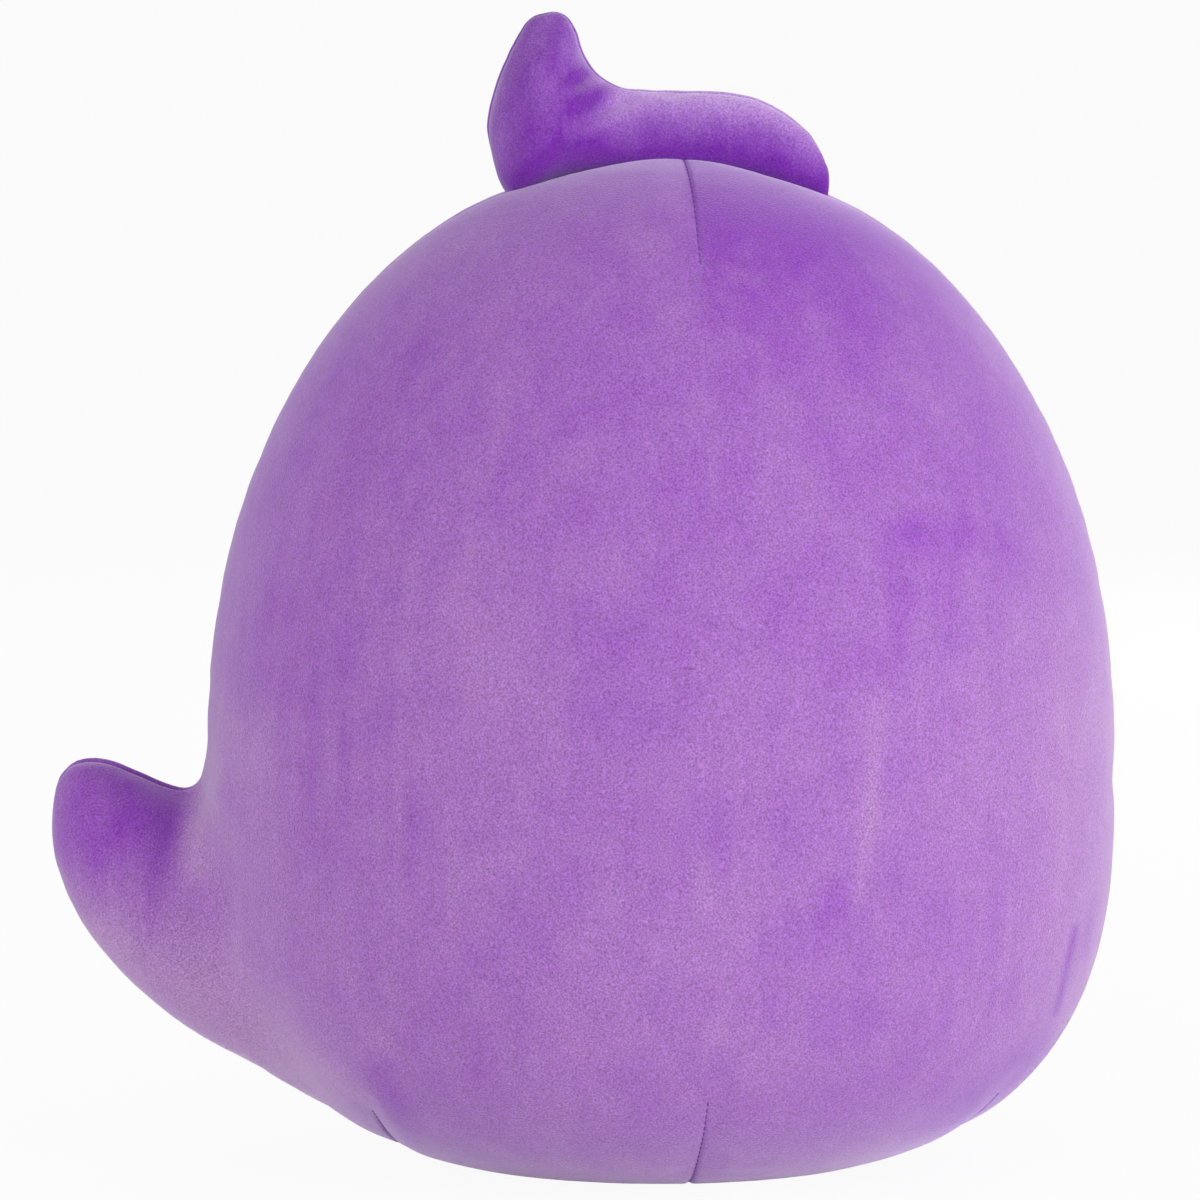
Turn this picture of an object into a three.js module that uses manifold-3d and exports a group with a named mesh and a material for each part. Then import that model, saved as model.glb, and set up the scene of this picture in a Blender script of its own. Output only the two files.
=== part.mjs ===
// A stuffed plush ghost. Two velour panels, shaped by darts, are sewn together round the edge; the
// tail is cut in one with them, and a curled tuft is caught in the crown of the seam. Polyester
// filling, sewing threads and an embroidered face complete it.
// Millimetres, +Z up. The face looks along -Y, the back along +Y, and the tail points to +X.

import * as THREE from "three";
import { mergeVertices } from "three/addons/utils/BufferGeometryUtils.js";
import Module from "manifold-3d";

// Body: an egg, fullest low down, pressed flat where it sits
const bodyWidth = 311;
const bodyDepth = 250;
const widestHeight = 135;
const crownHeight = 341.5;
const seatDrop = 6;
const crownPower = 2.1;
const seatPower = 2.9;
const bodySides = 32;
const crownRings = 10;
const seatRings = 8;

// The seam plane stands this far in front of the origin, so the origin lies on the back panel
const seamSetback = 8;

// Cloth, thread and the gap between neighbouring pieces
const panelThickness = 2.4;
const threadWidth = 0.9;
const threadBury = 0.25;
const clearance = 0.3;

// Tail: each edge is a curve of points, outwards from the body's side and up from its widest ring.
// Fullness is depth over width; a higher edge power pinches the edges, a higher end power fills the ends.
const tailLowerEdge = [
  [-76, -118],
  [-43, -115],
  [5, -92.5],
  [36, -62.5],
  [50, -35],
  [53, -8],
];
const tailUpperEdge = [
  [-61, -42],
  [-28, -22],
  [5, -9.5],
  [24, -2.5],
  [37, 1.2],
  [47.5, 0],
];
const tailFullness = 0.85;
const tailEdgePower = 1;
const tailEndPower = 8;
const tailStations = 12;
const tailAcross = 7;

// Tuft: each edge is a curve of points, sideways from the middle and up from the crown below them
const tuftLowerEdge = [
  [-58, 0],
  [-42, 0],
  [-14, 0],
  [14, 0],
  [38, 0],
  [54, 3],
  [58, 22],
  [53, 42],
  [42, 53],
];
const tuftUpperEdge = [
  [-58, 8],
  [-49, 18.5],
  [-19, 24],
  [4, 22.8],
  [15, 25],
  [22, 30.5],
  [27, 39],
  [28, 47],
  [34, 53.5],
];
const tuftFullness = 0.66;
const tuftEdgePower = 2;
const tuftEndPower = 6;
const tuftStations = 16;
const tuftAcross = 6;

// Darts in plan: where each leaves the seam, and its inner end on the back panel. The side darts are
// measured in from the body's sides.
const halfWidth = bodyWidth / 2;
const darts = [
  { name: "crown", start: [-7, 0], end: [-12.5, 70], above: true },
  { name: "base", start: [-2, 0], end: [-15, 107], above: false },
  { name: "tail_side", start: [halfWidth - 70.5, 0], end: [halfWidth - 58.5, 57], above: false },
  { name: "far_side", start: [69.5 - halfWidth, 0], end: [41.5 - halfWidth, 42], above: false },
];

// The hand-sewn closing seam runs from here, across the base, to the root of the tail
const closingStart = 20;

// Face: plain embroidered ovals on the front panel, over one sheet of backing
const eyeWidth = 24;
const eyeHeight = 36;
const eyeSpacing = 92;
const eyeCentreHeight = 214;
const mouthWidth = 18;
const mouthHeight = 22;
const mouthCentreHeight = 168;
const embroideryRise = 0.5;
const embroiderySink = 0.7;
const ovalSides = 20;
const backingMargin = 12;
const backingThickness = 0.6;

const velour = new THREE.MeshStandardMaterial({ color: 0xa564c8, roughness: 0.95, metalness: 0 });
const thread = new THREE.MeshStandardMaterial({ color: 0x7f45a6, roughness: 0.8, metalness: 0 });
const filling = new THREE.MeshStandardMaterial({ color: 0xf2f0ec, roughness: 1, metalness: 0 });
const floss = new THREE.MeshStandardMaterial({ color: 0x2a2230, roughness: 0.6, metalness: 0 });
const backing = new THREE.MeshStandardMaterial({ color: 0xe6e3dc, roughness: 0.9, metalness: 0 });

const wasm = await Module();
wasm.setup();

// A geometry reduced to its corners, with the shared ones merged.
function welded(geometry) {
  const bare = geometry.clone();
  bare.deleteAttribute("normal");
  bare.deleteAttribute("uv");
  return mergeVertices(bare);
}

// The solid inside a closed geometry.
function solid(geometry) {
  const bare = welded(geometry);
  const vertProperties = bare.attributes.position.array;
  const triVerts = new Uint32Array(bare.index.array);
  return new wasm.Manifold(new wasm.Mesh({ numProp: 3, vertProperties, triVerts }));
}

// The form with its skin moved in by a depth, or out where the depth is negative.
function inset(form, depth) {
  const bare = welded(form);
  bare.computeVertexNormals();
  const corner = new THREE.Vector3();
  const normal = new THREE.Vector3();
  for (let i = 0; i < bare.attributes.position.count; i++) {
    corner.fromBufferAttribute(bare.attributes.position, i);
    normal.fromBufferAttribute(bare.attributes.normal, i);
    corner.addScaledVector(normal, -depth);
    bare.attributes.position.setXYZ(i, corner.x, corner.y, corner.z);
  }
  return solid(bare);
}

// A box between two corners.
function box(low, high) {
  const size = high.map((value, axis) => value - low[axis]);
  const middle = high.map((value, axis) => (value + low[axis]) / 2);
  return solid(new THREE.BoxGeometry(...size).translate(...middle));
}

// Far enough to pass every side of the toy
const beyond = bodyWidth + bodyDepth + crownHeight;
const behindSeam = box([-beyond, clearance / 2, -beyond], [beyond, beyond, beyond]);
const inFrontOfSeam = box([-beyond, -beyond, -beyond], [beyond, -clearance / 2, beyond]);
const seamSlab = (width) => box([-beyond, -width / 2, -beyond], [beyond, width / 2, beyond]);

// The egg's half section: radius as a share of the half width, against height.
function eggSection() {
  const section = [];
  const seatReach = widestHeight + seatDrop;
  for (let ring = seatRings; ring > 0; ring--) {
    const turn = (Math.PI / 2) * (ring / seatRings);
    const drop = seatReach * Math.sin(turn) ** (2 / seatPower);
    section.push(new THREE.Vector2(Math.cos(turn) ** (2 / seatPower), widestHeight - drop));
  }
  const crownReach = crownHeight - widestHeight;
  for (let ring = 0; ring <= crownRings; ring++) {
    const turn = (Math.PI / 2) * (ring / crownRings);
    const rise = crownReach * Math.sin(turn) ** (2 / crownPower);
    section.push(new THREE.Vector2(Math.cos(turn) ** (2 / crownPower), widestHeight + rise));
  }
  section[0].x = 0;
  section.at(-1).x = 0;
  return section;
}

const bodyForm = new THREE.LatheGeometry(eggSection(), bodySides)
  .rotateX(Math.PI / 2)
  .scale(halfWidth, bodyDepth / 2, 1);

// The body taken in by a depth and cut flat where it sits.
function bodyInset(depth) {
  return inset(bodyForm, depth).intersect(box([-beyond, -beyond, depth], [beyond, beyond, beyond]));
}

// Height of the crown in the seam plane.
function crownAt(x) {
  const share = Math.abs(x) / halfWidth;
  return widestHeight + (crownHeight - widestHeight) * (1 - share ** crownPower) ** (1 / crownPower);
}

// Where along a pillow's middle line, from 0 to 1, an end lies once it is taken in by a depth.
function takenIn(midpoint, end, depth) {
  const from = midpoint(end);
  const smallStep = 0.001;
  let t = end;
  while (midpoint(t).distanceTo(from) < depth) t += end > 0 ? -smallStep : smallStep;
  return t;
}

// A pillow of two panels sewn edge to edge, taken in by a depth. It spans the patch between two edge
// curves in the seam plane and swells to either side of it; its ends close to a line.
function pillow({ lowerEdge, upperEdge, fullness, edgePower, endPower, stations, across }, depth) {
  const lower = new THREE.CatmullRomCurve3(lowerEdge);
  const upper = new THREE.CatmullRomCurve3(upperEdge);
  const midpoint = (t) => lower.getPoint(t).lerp(upper.getPoint(t), 0.5);
  const first = takenIn(midpoint, 0, depth);
  const last = takenIn(midpoint, 1, depth);
  const around = 2 * across;
  const corners = [];
  for (let station = 0; station <= stations; station++) {
    const share = (1 - Math.cos((Math.PI * station) / stations)) / 2;
    const t = first + (last - first) * share;
    const a = lower.getPoint(t);
    const b = upper.getPoint(t);
    const width = a.distanceTo(b);
    const swell = 1 - Math.abs(2 * share - 1) ** endPower;
    const halfDepth = swell * ((fullness * width) / 2 - depth);
    for (let step = 0; step < around; step++) {
      const turn = (Math.PI * step) / across;
      const fromLower = depth + (width - 2 * depth) * ((1 - Math.cos(turn)) / 2);
      const point = a.clone().lerp(b, fromLower / width);
      const side = step > across ? -1 : 1;
      point.y = side * halfDepth * Math.abs(Math.sin(turn)) ** edgePower;
      corners.push(...point);
    }
  }
  const triangles = [];
  for (let station = 0; station < stations; station++) {
    for (let step = 0; step < around; step++) {
      const here = station * around + step;
      const beside = station * around + ((step + 1) % around);
      triangles.push(here, beside, beside + around);
      triangles.push(here, beside + around, here + around);
    }
  }
  const geometry = new THREE.BufferGeometry();
  geometry.setAttribute("position", new THREE.Float32BufferAttribute(corners, 3));
  geometry.setIndex(triangles);
  return solid(geometry);
}

const besideBody = ([out, up]) => new THREE.Vector3(halfWidth + out, 0, widestHeight + up);
const tail = {
  lowerEdge: tailLowerEdge.map(besideBody),
  upperEdge: tailUpperEdge.map(besideBody),
  fullness: tailFullness,
  edgePower: tailEdgePower,
  endPower: tailEndPower,
  stations: tailStations,
  across: tailAcross,
};

const overCrown = ([x, up]) => new THREE.Vector3(x, 0, crownAt(x) + clearance + up);
const tuft = {
  lowerEdge: tuftLowerEdge.map(overCrown),
  upperEdge: tuftUpperEdge.map(overCrown),
  fullness: tuftFullness,
  edgePower: tuftEdgePower,
  endPower: tuftEndPower,
  stations: tuftStations,
  across: tuftAcross,
};

// Depths, from the skin inwards, of the thread's two sides and of the groove that holds it
const threadFloor = threadBury + threadWidth;
const grooveFloor = threadFloor + clearance;
const grooveWidth = threadWidth + 2 * clearance;
const fillingDepth = panelThickness + clearance;

// Body, tail and tuft each come from one function of depth
const tailInset = (depth) => pillow(tail, depth);
const tuftInset = (depth) => pillow(tuft, depth);

// The thread of a seam, and the groove it lies in, all round a form.
function seamThread(insetForm) {
  return insetForm(threadBury).subtract(insetForm(threadFloor)).intersect(seamSlab(threadWidth));
}

function seamGroove(insetForm) {
  return seamSlab(grooveWidth).subtract(insetForm(grooveFloor));
}

// The cloth skin of a form, with the seam's groove round its edge.
function skin(insetForm) {
  return insetForm(0).subtract(insetForm(panelThickness)).subtract(seamGroove(insetForm));
}

// An upright plate over a dart's line, on the back panel or mirrored to the front.
function dartPlate(dart, side, width) {
  const from = new THREE.Vector2(dart.start[0], side * dart.start[1]);
  const to = new THREE.Vector2(dart.end[0], side * dart.end[1]);
  const line = to.clone().sub(from);
  const heading = line.clone().normalize();
  const seamMargin = grooveWidth / 2 + clearance;
  const length = line.length() - seamMargin;
  const middle = from.addScaledVector(heading, seamMargin + length / 2);
  const low = dart.above ? widestHeight : -beyond;
  const high = dart.above ? beyond : widestHeight;
  const plate = new THREE.BoxGeometry(length, width, high - low)
    .rotateZ(heading.angle())
    .translate(middle.x, middle.y, (low + high) / 2);
  return solid(plate);
}

// An upright oval bar along Y through the front panel.
function ovalBar(width, height, x, z) {
  const outline = new THREE.Shape().absellipse(0, 0, width / 2, height / 2, 0, 2 * Math.PI);
  const bar = new THREE.ExtrudeGeometry(outline, {
    depth: beyond,
    bevelEnabled: false,
    curveSegments: ovalSides,
  });
  return solid(bar.rotateX(Math.PI / 2).translate(x, 0, z));
}

const ovals = [
  { name: "left_eye", width: eyeWidth, height: eyeHeight, x: eyeSpacing / 2, z: eyeCentreHeight },
  { name: "right_eye", width: eyeWidth, height: eyeHeight, x: -eyeSpacing / 2, z: eyeCentreHeight },
  { name: "mouth", width: mouthWidth, height: mouthHeight, x: 0, z: mouthCentreHeight },
];

// The sheet behind the face reaches past the eyes and the mouth on every side.
function backingSheet(gap) {
  const side = eyeSpacing / 2 + eyeWidth / 2 + backingMargin + gap;
  const bottom = mouthCentreHeight - mouthHeight / 2 - backingMargin - gap;
  const top = eyeCentreHeight + eyeHeight / 2 + backingMargin + gap;
  const outer = fillingDepth - gap;
  const inner = fillingDepth + backingThickness + gap;
  const window = box([-side, -beyond, bottom], [side, 0, top]);
  return bodyInset(outer).subtract(bodyInset(inner)).intersect(window);
}

const group = new THREE.Group();
group.position.y = -seamSetback;

// Adds a finished solid to the toy as a named piece.
function add(name, material, made) {
  const { vertProperties, triVerts } = made.getMesh();
  const geometry = new THREE.BufferGeometry();
  geometry.setAttribute("position", new THREE.BufferAttribute(vertProperties, 3));
  geometry.setIndex(new THREE.BufferAttribute(triVerts, 1));
  geometry.computeVertexNormals();
  const mesh = new THREE.Mesh(geometry, material);
  mesh.name = name;
  group.add(mesh);
}

const sides = [
  { name: "back", sign: 1, half: behindSeam },
  { name: "front", sign: -1, half: inFrontOfSeam },
];

// Body panels: the skin of the egg, open where the tail's filling passes through
const bodyClear = bodyInset(-clearance);
const tailClear = tailInset(-clearance);
const bodySkin = skin(bodyInset).subtract(tailInset(panelThickness));
for (const { name, sign, half } of sides) {
  let panel = bodySkin.intersect(half);
  for (const dart of darts) {
    const groove = dartPlate(dart, sign, grooveWidth).subtract(bodyInset(grooveFloor));
    const stitches = bodyInset(threadBury)
      .subtract(bodyInset(threadFloor))
      .intersect(dartPlate(dart, sign, threadWidth));
    panel = panel.subtract(groove);
    add(`${name}_${dart.name}_dart_thread`, thread, stitches);
  }
  if (sign < 0) {
    for (const { width, height, x, z } of ovals) {
      const around = ovalBar(width + 2 * clearance, height + 2 * clearance, x, z);
      panel = panel.subtract(around.subtract(bodyInset(embroiderySink + clearance)));
    }
  }
  add(`${name}_body_panel`, velour, panel);
}

// Embroidery: each oval stands a little above the cloth and is drawn down into it
for (const { name, width, height, x, z } of ovals) {
  const patch = bodyInset(-embroideryRise).subtract(bodyInset(embroiderySink));
  add(`${name}_embroidery`, floss, patch.intersect(ovalBar(width, height, x, z)));
}
add("face_backing", backing, backingSheet(0));

// Filling of the body, hollowed for the backing
add("body_filling", filling, bodyInset(fillingDepth).subtract(backingSheet(clearance)));

// Perimeter seam: machine-sewn over the crown, closed by hand from the base to the tail's root
const perimeterThread = seamThread(bodyInset).subtract(tailClear);
const rootHeight = besideBody(tailLowerEdge[2]).lerp(besideBody(tailUpperEdge[2]), 0.5).z;
const closingStretch = (from) => box([from, -beyond, -beyond], [beyond, beyond, rootHeight]);
add("body_seam_thread", thread, perimeterThread.subtract(closingStretch(closingStart - clearance)));
add("closing_seam_thread", thread, perimeterThread.intersect(closingStretch(closingStart)));

// Tail: a swelling fin, cut by the body it grows from
for (const { name, half } of sides) {
  add(`tail_${name}_panel`, velour, skin(tailInset).intersect(half).subtract(bodyClear));
}
add("tail_filling", filling, tailInset(fillingDepth).subtract(bodyInset(panelThickness)));
add("tail_seam_thread", thread, seamThread(tailInset).subtract(bodyClear));

// Tuft: stands on the crown, held along its lower edge
for (const { name, half } of sides) {
  add(`tuft_${name}_panel`, velour, skin(tuftInset).intersect(half));
}
add("tuft_filling", filling, tuftInset(fillingDepth));
add("tuft_seam_thread", thread, seamThread(tuftInset));

export default group;
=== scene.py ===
import math

import bmesh
import bpy
import numpy as np
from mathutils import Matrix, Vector, noise
from mathutils.bvhtree import BVHTree


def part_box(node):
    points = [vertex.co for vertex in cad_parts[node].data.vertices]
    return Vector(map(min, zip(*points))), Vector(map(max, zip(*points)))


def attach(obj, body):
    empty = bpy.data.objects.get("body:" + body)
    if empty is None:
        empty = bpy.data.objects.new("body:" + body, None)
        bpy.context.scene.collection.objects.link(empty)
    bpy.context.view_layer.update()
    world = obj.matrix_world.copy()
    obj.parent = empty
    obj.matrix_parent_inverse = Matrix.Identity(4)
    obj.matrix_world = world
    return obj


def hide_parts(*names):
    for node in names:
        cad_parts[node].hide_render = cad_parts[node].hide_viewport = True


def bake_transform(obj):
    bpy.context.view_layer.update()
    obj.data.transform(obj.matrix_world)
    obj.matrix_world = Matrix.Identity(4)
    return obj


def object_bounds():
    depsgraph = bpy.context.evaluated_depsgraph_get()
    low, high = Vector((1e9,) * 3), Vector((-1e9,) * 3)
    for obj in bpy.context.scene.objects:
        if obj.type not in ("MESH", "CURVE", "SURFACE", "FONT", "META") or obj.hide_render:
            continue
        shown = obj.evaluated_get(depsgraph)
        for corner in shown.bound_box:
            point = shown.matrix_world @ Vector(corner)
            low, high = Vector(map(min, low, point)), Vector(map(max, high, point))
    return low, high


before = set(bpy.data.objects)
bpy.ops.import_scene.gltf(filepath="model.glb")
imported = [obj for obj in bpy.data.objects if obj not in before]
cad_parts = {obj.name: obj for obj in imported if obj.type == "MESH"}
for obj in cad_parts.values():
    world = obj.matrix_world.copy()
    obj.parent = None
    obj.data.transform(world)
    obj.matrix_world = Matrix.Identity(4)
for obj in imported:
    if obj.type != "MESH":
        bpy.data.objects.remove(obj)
cad_box = [list(corner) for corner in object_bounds()]

# Body and tail cover
# Two velour panels, back and front, each cut with one side of the tail in the same piece of cloth.
# They are sewn round the edge inside out, turned, and stuffed until the cover is round and tight.
back_low, back_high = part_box("back_body_panel")
_, front_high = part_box("front_body_panel")
seam_y = (back_low.y + front_high.y) / 2
side_x = back_high.x
crown_z = back_high.z
half_depth = back_high.y - seam_y
widest_z = 0.135
seat_drop = 0.006
crown_power = 2.13
seat_power = 2.85
body_rings = 60
body_sides = 120

# The tail's edges in the seam plane, measured out from the body's side and up from its widest height
tail_lower_edge = [
    (-0.080, -0.127), (-0.043, -0.1195), (0.005, -0.0930), (0.0375, -0.063), (0.052, -0.035), (0.055, -0.008),
]
tail_upper_edge = [
    (-0.061, -0.046), (-0.028, -0.025), (0.005, -0.0105), (0.024, -0.002), (0.038, 0.003), (0.049, 0.002),
]
tail_fullness = 0.85
tail_powers = (1, 1)
tail_end_power = 8
tail_end_share = 0.2
tail_stations = 40
tail_sides = 40

# The line along which the tail joins the body, where the cloth is evened out, least at its top
tail_root_top = (0.001, -0.010)
tail_root_foot = (-0.024, -0.095)
tail_root_width = 0.016
tail_root_least = 0.3
tail_root_smoothing = 0.6
tail_root_rounds = 40

# The fold where the tail turns out from the body, and the swelling beside it: start, end, depth and width
tail_folds = [
    ((0.005, -0.009), (0.018, -0.060), 0.0035, 0.0060),
    ((-0.008, -0.006), (0.004, -0.060), -0.0022, 0.0080),
]

# The cloth, the stuffing that swells it, and how much its seams and darts draw it in
cloth_grid = 0.0045
smoothing = 0.5
grid_rounds = 4
stuffing_pressure = 4
stuffing_frames = 20
least_weight = 0.01
most_moved = 0.004
seam_shrink = 0.015
seam_pull = 0.5
dart_pull = 0.6
dart_pull_rise = 3
drawn_width = 0.006
held_height = 0.004
fold_rounds = 60

# Lumps of the stuffing, which end near the floor, and puckers beside the seam
lump_size = 0.09
lump_height = 0.0008
flat_height = 0.02
pucker_size = 0.009
pucker_height = 0.0002
pucker_reach = 0.007

# Rows of points beside each seam, and how far its stitches pull the cloth in
seam_rows = [0, 0.0004, 0.0009, 0.0016, 0.0026, 0.0040, 0.0060]
seam_reach = 0.010
seam_depth = 0.0022
seam_width = 0.0017
seam_gap = 0.00003
same_place = 0.00002
panel_thickness = 0.0018
front_spare = 0.0008
front_spare_place = 0.0035
front_spare_start = 0.006
front_spare_softness = 0.002

# Darts in plan, from the seam to the inner end, as distances across the body and back from the seam
darts = {
    "crown": ((-0.007, 0), (-0.0125, 0.070)),
    "base": ((-0.002, 0), (-0.015, 0.107)),
    "tail_side": ((side_x - 0.0705, 0), (side_x - 0.0585, 0.057)),
    "far_side": ((0.0695 - side_x, 0), (0.0415 - side_x, 0.042)),
}
dart_rows = [0, 0.0004, 0.0009, 0.0016, 0.0028]
dart_reach = 0.006
dart_margin = 0.05
dart_depth = 0.0007
dart_width = 0.0008
dart_taper_start = 0.25
dart_taper_rise = 2
dart_taper_power = 12

# The crown's peak at its dart, and where its cloth lies lower beside it: place across, depth and width
crown_peak = 0.0012
crown_peak_width = 0.016
crown_dips = [(0.034, 0.0021, 0.020), (-0.040, 0.0012, 0.018)]


def new_piece(name, mesh):
    """A mesh as a piece of the scene."""
    piece = bpy.data.objects.new(name, mesh)
    bpy.context.scene.collection.objects.link(piece)
    return piece


def finished_mesh(piece):
    """The piece's mesh as its modifiers leave it."""
    graph = bpy.context.evaluated_depsgraph_get()
    return bpy.data.meshes.new_from_object(piece.evaluated_get(graph))


def applied(mesh, kind, **settings):
    """The mesh after one modifier."""
    piece = new_piece("modified_form", mesh)
    modifier = piece.modifiers.new(kind, kind)
    for name, value in settings.items():
        setattr(modifier, name, value)
    result = finished_mesh(piece)
    bpy.data.objects.remove(piece)
    return result


def points_of(mesh):
    """A mesh's points, one row each."""
    points = np.zeros(len(mesh.vertices) * 3)
    mesh.vertices.foreach_get("co", points)
    return points.reshape(-1, 3)


def set_points(mesh, points):
    """Moves a mesh's points."""
    mesh.vertices.foreach_set("co", points.ravel())
    mesh.update()


def normals_of(mesh):
    """The way out of the surface at each of a mesh's points."""
    normals = np.zeros(len(mesh.vertices) * 3)
    mesh.vertex_normals.foreach_get("vector", normals)
    return normals.reshape(-1, 3)


def fade(distance, width):
    """1 at no distance, falling softly to 0 on both sides."""
    return np.exp(-((distance / width) ** 2))


def past(distance, softness):
    """0 before a line and 1 past it, with a soft step between."""
    return 1 / (1 + np.exp(-distance / softness))


def tube_faces(rings, sides):
    """Faces of a closed tube of rings, with a flat face over each end."""
    faces = [tuple(range(sides))[::-1], tuple(range((rings - 1) * sides, rings * sides))]
    for ring in range(rings - 1):
        for side in range(sides):
            after = (side + 1) % sides
            low = ring * sides
            high = low + sides
            faces.append((low + side, low + after, high + after, high + side))
    return faces


def egg():
    """The stuffed body: round in plan, with superellipses of their own for crown and seat."""
    points = []
    for angle in np.linspace(-math.pi / 2, math.pi / 2, body_rings + 2)[1:-1]:
        power = crown_power if angle > 0 else seat_power
        reach = crown_z - widest_z if angle > 0 else widest_z + seat_drop
        radius = math.cos(angle) ** (2 / power)
        rise = math.copysign(abs(math.sin(angle)) ** (2 / power), angle)
        for turn in np.arange(body_sides) * 2 * math.pi / body_sides:
            x = side_x * radius * math.cos(turn)
            y = seam_y + half_depth * radius * math.sin(turn)
            points.append((x, y, widest_z + reach * rise))
    return points, tube_faces(body_rings, body_sides)


def smooth_line(points, count):
    """Points on a curve through the given ones, the same number in each span."""
    points = np.array(points, float)
    before = 2 * points[0] - points[1]
    after = 2 * points[-1] - points[-2]
    ends = np.vstack([before, points, after])
    line = []
    for place in np.linspace(0, len(points) - 1, count):
        at = min(int(place), len(points) - 2)
        t = place - at
        a, b, c, d = ends[at:at + 4]
        bend = (2 * a - 5 * b + 4 * c - d) * t**2
        twist = (3 * b - a - 3 * c + d) * t**3
        line.append(b + ((c - a) * t + bend + twist) / 2)
    return np.array(line)


def pillow(lower_edge, upper_edge, fullness, powers, end_power, end_share, stations, sides):
    """A stuffed limb between two edges in the seam plane, with a power of roundness for each edge."""
    lower = smooth_line(lower_edge, stations)
    upper = smooth_line(upper_edge, stations)
    points = []
    for at in range(stations):
        swell = 1 - (1 - end_share) * abs(2 * at / (stations - 1) - 1) ** end_power
        reach = swell * fullness * np.linalg.norm(upper[at] - lower[at]) / 2
        for turn in np.arange(sides) * 2 * math.pi / sides:
            across = (1 - math.cos(turn)) / 2
            x, z = lower[at] + (upper[at] - lower[at]) * across
            power = powers[0] + (powers[1] - powers[0]) * across
            out = math.copysign(abs(math.sin(turn)) ** power, math.sin(turn))
            points.append((x, seam_y + reach * out, z))
    return points, tube_faces(stations, sides)


def merged(forms, grid):
    """One closed skin round overlapping closed forms."""
    points = []
    faces = []
    for form_points, form_faces in forms:
        faces += [tuple(corner + len(points) for corner in face) for face in form_faces]
        points += form_points
    mesh = bpy.data.meshes.new("merged_form")
    mesh.from_pydata(points, [], faces)
    work = bmesh.new()
    work.from_mesh(mesh)
    bmesh.ops.recalc_face_normals(work, faces=work.faces)
    work.to_mesh(mesh)
    work.free()
    return applied(mesh, "REMESH", mode="VOXEL", voxel_size=grid)


def evened(mesh, values, weight, rounds):
    """The values at a mesh's points, drawn towards their neighbours' where weight is above 0."""
    pairs = np.zeros(len(mesh.edges) * 2, int)
    mesh.edges.foreach_get("vertices", pairs)
    pairs = pairs.reshape(-1, 2)
    count = np.bincount(pairs.ravel(), minlength=len(values))[:, None]
    weight = np.broadcast_to(weight, len(values))[:, None]
    for _ in range(rounds):
        total = np.zeros_like(values)
        np.add.at(total, pairs[:, 0], values[pairs[:, 1]])
        np.add.at(total, pairs[:, 1], values[pairs[:, 0]])
        values = values + weight * (total / count - values)
    return values


def from_line(points, start, end):
    """Each point's place along a line, from 0 to 1, and its distance from the line."""
    start = np.array(start)
    line = np.array(end) - start
    share = np.clip((points - start) @ line / (line @ line), 0, 1)
    return share, np.linalg.norm(points - start - share[:, None] * line, axis=1)


def dart_place(points, name):
    """Each point's place along a dart in plan, its distance from the dart, and whether it is on that end."""
    start, end = darts[name]
    plan = np.column_stack([points[:, 0], np.abs(points[:, 1] - seam_y)])
    share, distance = from_line(plan, start, end)
    upper = points[:, 2] > widest_z
    return share, distance, upper if name == "crown" else ~upper


def stuffed_folds(mesh, drawn_in, held):
    """How far the cloth moves into folds when stuffing swells it against its drawn-in seams."""
    piece = new_piece("cloth_form", mesh.copy())
    for name, weights in (("drawn_in", drawn_in), ("held", held)):
        group = piece.vertex_groups.new(name=name)
        for index in np.flatnonzero(weights > least_weight):
            group.add([int(index)], float(weights[index]), "REPLACE")
    settings = piece.modifiers.new("Cloth", "CLOTH").settings
    settings.quality = 4
    settings.use_pressure = True
    settings.uniform_pressure_force = stuffing_pressure
    settings.effector_weights.gravity = 0
    settings.vertex_group_shrink = "drawn_in"
    settings.shrink_min = 0
    settings.shrink_max = seam_shrink
    settings.vertex_group_mass = "held"
    for number in range(1, stuffing_frames + 1):
        bpy.context.scene.frame_set(number)
    moved = points_of(finished_mesh(piece)) - points_of(mesh)
    bpy.data.objects.remove(piece)
    bpy.context.scene.frame_set(1)
    moved -= evened(mesh, moved, smoothing, fold_rounds)
    length = np.linalg.norm(moved, axis=1)
    return moved * np.minimum(1, most_moved / np.maximum(length, 1e-9))[:, None]


def lumps(points, size):
    """A smooth random height at each point, always the same."""
    return np.array([noise.noise(Vector(point) / size) for point in points])


def past_seam(points):
    """The front cloth is cut a little fuller, so its edge shows past the seam from behind."""
    return front_spare * fade(seam_y - points[:, 1] - front_spare_place, front_spare_place)


def everywhere(middle):
    """The choice of every face, for a seam that goes all the way round."""
    return True


def cut_rows(mesh, centre, across, rows, reach, chosen):
    """Cuts rows of points beside a seam, so that its groove has edges to follow."""
    work = bmesh.new()
    work.from_mesh(mesh)
    centre = Vector(centre)
    across = Vector(across).normalized()
    for offset in sorted({sign * row for row in rows for sign in (-1, 1)}):
        faces = []
        for face in work.faces:
            middle = face.calc_center_median()
            if abs((middle - centre).dot(across)) < reach and chosen(middle):
                faces.append(face)
        edges = {edge for face in faces for edge in face.edges}
        corners = {corner for face in faces for corner in face.verts}
        place = centre + offset * across
        geometry = [*faces, *edges, *corners]
        bmesh.ops.bisect_plane(work, geom=geometry, dist=same_place, plane_co=place, plane_no=across)
    work.to_mesh(mesh)
    work.free()


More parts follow.
